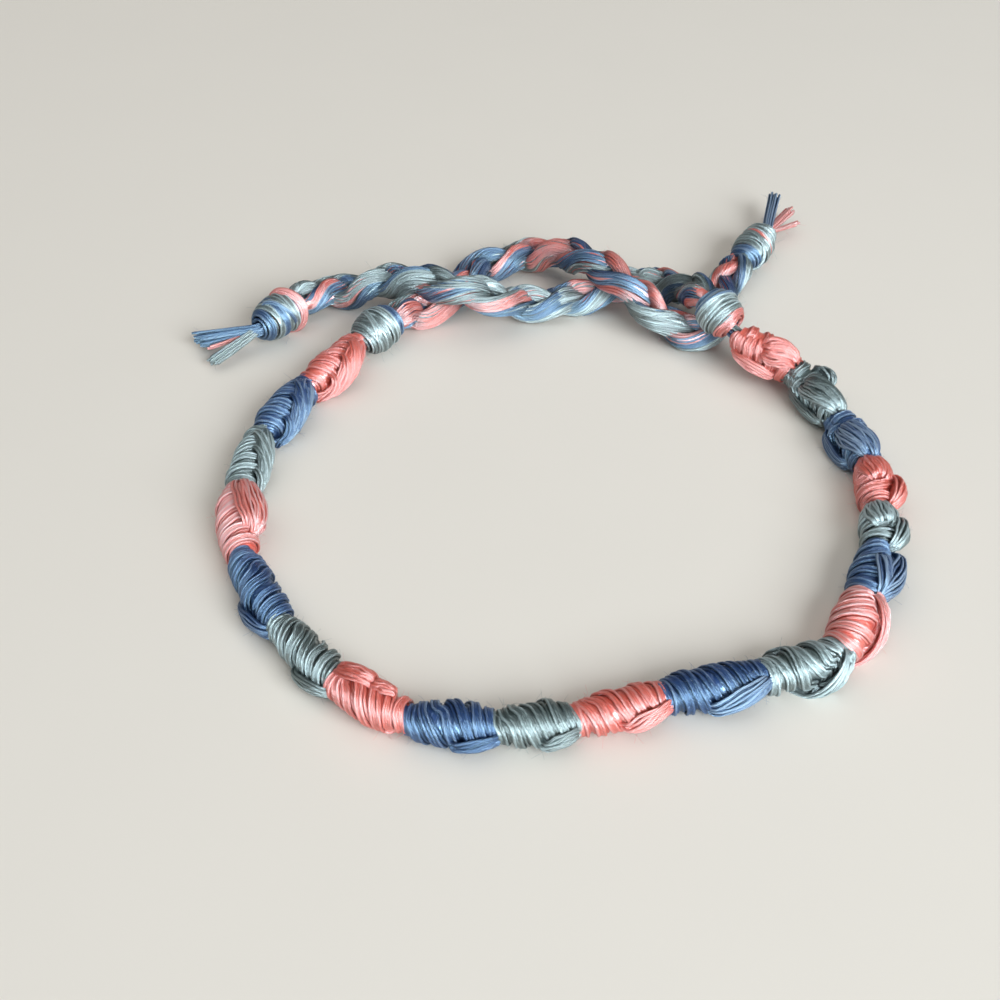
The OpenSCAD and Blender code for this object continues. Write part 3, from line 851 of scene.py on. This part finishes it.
def wound_knot(name, piece_name, slot, node, seed, sizes):
    """An overhand knot: turns of thread round the threads that run through it."""
    _, _, _, length, across = KNOTS[name]
    skein = Skein(seed, loose=True)
    ply = sizes.ply_width / MM
    way = knot_way(name)
    middle = knot_place(name)
    line = np.array([middle - way * length, middle + way * length])

    def barrel(share):
        """Radius of the knot at a share of its length."""
        return across / 2 * np.sqrt(1 - 0.66 * (2 * share - 1) ** 2) - ply / 2

    sleeve = Sleeve(line, length / 2, length, barrel, across / 2)
    degree = math.radians(1) * across / 2
    lean, hidden, shades = TURNS[name]
    pitch = length / len(shades)
    for k, colour in enumerate(shades):
        u = (k + 0.5) * pitch
        keys = []
        for turn, h in TURN_KEYS:
            keys.append((u + lean * math.cos(math.radians(turn)) + skein.rng.normal(0, 0.12),
                         (hidden + turn) * degree, h + skein.rng.normal(0, 0.08), 1.0))
        lay_ribbon(skein, sleeve, keys, HITCH_PLIES, ply, [colour] * len(HITCH_PLIES))
    for u0, a0, u1, a1, bow, stand, shades in OVER_TURNS[name]:
        keys = []
        for share, h in OVER_KEYS:
            u = length / 2 + u0 + (u1 - u0) * share - bow * math.sin(math.pi * min(max(share, 0), 1))
            keys.append((u, (a0 + (a1 - a0) * share) * degree, stand * h if h > 0 else h, 0.8))
        middle_ply = (len(shades) - 1) / 2
        lay_ribbon(skein, sleeve, keys, [(j - middle_ply, 0.0) for j in range(len(shades))], ply, shades)
    share = np.linspace(-0.2, 1.2, 14)
    inner = share * length
    taper = np.clip(1.25 - np.abs(share - 0.5) * 0.9, 0.5, 1)
    for j in range(THREADS_THROUGH):
        reach = (0.36 + 0.64 * (j / THREADS_THROUGH)) * 1.15
        v = (j * GOLDEN_ANGLE + inner * 0.35) * across / 2
        points, out = sleeve.place(inner, v, reach * taper - barrel(np.clip(share, 0, 1)))
        skein.ply(points[2:-2], out[2:-2], ply, COLOURS[j % 3])
    skein.fuzz(KNOT_FUZZ)
    return settle(skein.make(piece_name), slot, node)


# Locks of the two tassels: the way they point, dip, length, width at the root and at the cut end, colours,
# and how much painted highlight brightens them, or painted shade darkens them if negative
TASSELS = {
    "left_end": [
        (186, 9, 7.4, 1.6, 2.2, ["blue"] * 34, -0.1),
        (200, 12, 6.4, 0.5, 0.6, ["coral"] * 3, 0.0),
        (221, 12, 6.8, 0.9, 1.5, ["sage"] * 14, -0.25),
    ],
    "right_end": [
        (74, -3, 8.6, 1.2, 1.4, ["blue"] * 18, 0.6),
        (55, 3, 7.2, 0.9, 1.2, ["coral"] * 13, 0.8),
        (36, 8, 6.0, 0.5, 0.7, ["coral"] * 5, 0.8),
    ],
}


def tassel(name, piece_name, slot, node, seed, sizes):
    """The cut threads beyond an end knot."""
    skein = Skein(seed, loose=True)
    ply = sizes.ply_width / MM * 1.05
    way = knot_way(name)
    root = knot_place(name, 0.1)
    side, up = side_and_up(way[None])
    side, up = side[0], up[0]
    for heading, dip, length, narrow, wide, colours, painted_lightness_of_lock in TASSELS[name]:
        # Painted highlight or shade added to the tones of this lock
        skein.bright = painted_lightness_of_lock
        aim = pointing(heading, -dip)
        for j, colour in enumerate(colours):
            angle = j * GOLDEN_ANGLE
            spread = math.sqrt((j + 0.5) / len(colours)) / 2
            across = side * math.cos(angle) * spread
            lift = up * math.sin(angle) * spread * 0.75
            off = across + lift
            cut = length * skein.rng.uniform(0.90, 1.0)
            curl = skein.rng.normal(0, 0.08, 3)
            keys = [
                root - way * 1.2 + off * narrow * 0.7,
                root + way * 0.2 + off * narrow,
                root + aim * cut * 0.35 + off * (narrow * 0.6 + wide * 0.4),
                root + aim * cut * 0.7 + off * (narrow * 0.2 + wide * 0.8) + curl * 0.4,
                root + aim * cut + off * wide + curl,
            ]
            points = curve_through(keys, PLY_STEP)
            out = unit(across + lift * 1.3 + up * 1e-3)
            skein.ply(points, np.tile(out, (len(points), 1)), ply, colour)
    skein.fuzz(KNOT_FUZZ)
    return settle(skein.make(piece_name), slot, node)


# Lamps: place, width and height, power and colour
LAMPS = {
    "window": ((0.42, -0.50, 0.42), (0.60, 0.45), 7.2, (0.92, 0.97, 1.0)),
    "low_panel": ((0.14, -0.50, 0.23), (1.2, 0.30), 18.0, (0.74, 0.92, 1.0)),
    "room": ((-0.15, 0.10, 0.55), (0.9, 0.9), 2.2, (1.0, 0.97, 0.92)),
}
ROOM_COLOUR, ROOM_STRENGTH = (0.86, 0.93, 1.0), 0.12
# Half the width of the floor
FLOOR_REACH = 1.5


def lamp(name, place, size, power, colour):
    """A soft light that faces the bracelet; size is its width and its height."""
    light = bpy.data.lights.new(name, "AREA")
    light.shape = "RECTANGLE"
    light.size, light.size_y = size
    light.energy = power
    light.color = colour
    thing = add_object(name, light)
    thing.location = place
    thing.rotation_euler = (-Vector(place)).to_track_quat("-Z", "Y").to_euler()
    return thing


class BRACELET_OT_stage(bpy.types.Operator):
    """Lays a plain pale floor and sets up soft light and the camera."""
    bl_idname = "bracelet.stage"
    bl_label = "Set the stage"

    def execute(self, context):
        stage = context.scene.bracelet_stage
        back = Vector((0, -math.cos(stage.elevation), math.sin(stage.elevation)))
        lens = bpy.data.cameras.new("camera")
        lens.lens = stage.lens
        lens.clip_start = 0.01
        camera = add_object("camera", lens)
        camera.location = Vector(stage.aim) + back * stage.distance
        camera.rotation_euler = (-back).to_track_quat("-Z", "Y").to_euler()
        context.scene.camera = camera
        mesh = bpy.data.meshes.new("floor")
        corners = [(-1, -1), (1, -1), (1, 1), (-1, 1)]
        mesh.from_pydata([(x * FLOOR_REACH, y * FLOOR_REACH, 0) for x, y in corners], [], [(0, 1, 2, 3)])
        net = Net("pale_floor")
        cloud = net.node("ShaderNodeTexNoise", Scale=60.0, Detail=3.0,
                         Vector=net.node("ShaderNodeTexCoord", out=3))
        tint = net.blend(cloud * 0.25, rgba(stage.floor), rgba(np.array(stage.floor) * 0.92))
        shader = net.node("ShaderNodeBsdfPrincipled", Base__Color=tint, Roughness=0.75,
                          Specular__IOR__Level=0.1)
        net.node("ShaderNodeOutputMaterial", Surface=shader)
        mesh.materials.append(net.material)
        add_object("floor", mesh)
        lamps = {name: lamp(name, *row) for name, row in LAMPS.items()}
        # The low panel only glints in the threads, and the room's light only fills the shadows
        lamps["low_panel"].visible_diffuse = False
        lamps["room"].visible_glossy = False
        world = bpy.data.worlds.new("room_light")
        world.use_nodes = True
        background = world.node_tree.nodes["Background"].inputs
        background["Color"].default_value = rgba(ROOM_COLOUR)
        background["Strength"].default_value = ROOM_STRENGTH
        context.scene.world = world
        context.scene.view_settings.view_transform = "Standard"
        return {"FINISHED"}


class BRACELET_OT_ties(bpy.types.Operator):
    """Braids the two ties, and makes the knots and tassels at their free ends."""
    bl_idname = "bracelet.ties"
    bl_label = "Braid the ties"

    def execute(self, context):
        sizes = context.scene.bracelet_sizes
        left_end = wound_knot("right_end", "left_tie_far_knot", "sage", "left_tie_end_knot", 21, sizes)
        left_tuft = tassel("right_end", "left_tie_cut_threads", "coral", "left_tie_tassel", 22, sizes)
        right_end = wound_knot("left_end", "right_tie_far_knot", "blue", "right_tie_end_knot", 23, sizes)
        right_tuft = tassel("left_end", "right_tie_cut_threads", "blue", "right_tie_tassel", 24, sizes)
        ties = [
            ("left_tie_braid", 11, "start", LEFT_ROUTE, "right_end", "left_tie_strand_", 1, -18,
             [left_end, left_tuft]),
            ("right_tie_braid", 12, "finish", RIGHT_ROUTE, "left_end", "right_tie_strand_", -1, -5,
             [right_end, right_tuft]),
        ]
        for name, seed, leaves, route, ends, nodes, over, phase, on_it in ties:
            nodes = [nodes + letter for letter in "abc"]
            piece, path, length = braid(name, seed, leaves, route, ends, nodes, over, phase, sizes)
        return {"FINISHED"}


class BRACELET_OT_band(bpy.types.Operator):
    """Knots the blocks of half hitches round the carrying threads."""
    bl_idname = "bracelet.band"
    bl_label = "Knot the band"

    def execute(self, context):
        sizes = context.scene.bracelet_sizes
        line, marks = band_line()
        carrying_threads(line, marks, sizes)
        for index in range(len(BLOCKS)):
            hitch_block(index, line, marks, sizes)
        return {"FINISHED"}


class BRACELET_OT_band_knots(bpy.types.Operator):
    """Ties the overhand knots at the two ends of the band."""
    bl_idname = "bracelet.band_knots"
    bl_label = "Tie the band's end knots"

    def execute(self, context):
        sizes = context.scene.bracelet_sizes
        wound_knot("start", "start_overhand_knot", "sage", "start_knot", 31, sizes)
        wound_knot("finish", "finish_overhand_knot", "sage", "finish_knot", 32, sizes)
        return {"FINISHED"}


class BRACELET_PT_panel(bpy.types.Panel):
    """The bracelet's sizes, colours and steps."""
    bl_idname = "BRACELET_PT_panel"
    bl_label = "Thread Bracelet"
    bl_space_type = "VIEW_3D"
    bl_region_type = "UI"
    bl_category = "Bracelet"

    def draw(self, context):
        scene = context.scene
        for group in (scene.bracelet_sizes, scene.bracelet_colours, scene.bracelet_stage):
            box = self.layout.box()
            for name in group.__annotations__:
                box.prop(group, name)
        for step in STEPS:
            self.layout.operator(step.bl_idname)


STEPS = (BRACELET_OT_stage, BRACELET_OT_ties, BRACELET_OT_band, BRACELET_OT_band_knots)
CLASSES = (BraceletSizes, BraceletColours, BraceletStage) + STEPS + (BRACELET_PT_panel,)


def register():
    """Adds the classes and the scene's three groups of properties."""
    for kind in CLASSES:
        bpy.utils.register_class(kind)
    bpy.types.Scene.bracelet_sizes = bpy.props.PointerProperty(type=BraceletSizes)
    bpy.types.Scene.bracelet_colours = bpy.props.PointerProperty(type=BraceletColours)
    bpy.types.Scene.bracelet_stage = bpy.props.PointerProperty(type=BraceletStage)


def unregister():
    """Takes them away again."""
    del bpy.types.Scene.bracelet_stage
    del bpy.types.Scene.bracelet_colours
    del bpy.types.Scene.bracelet_sizes
    for kind in reversed(CLASSES):
        bpy.utils.unregister_class(kind)


def main():
    """Makes the bracelet on its stage."""
    register()
    bpy.ops.bracelet.stage()
    bpy.ops.bracelet.ties()
    bpy.ops.bracelet.band()
    bpy.ops.bracelet.band_knots()


if __name__ == "__main__":
    main()
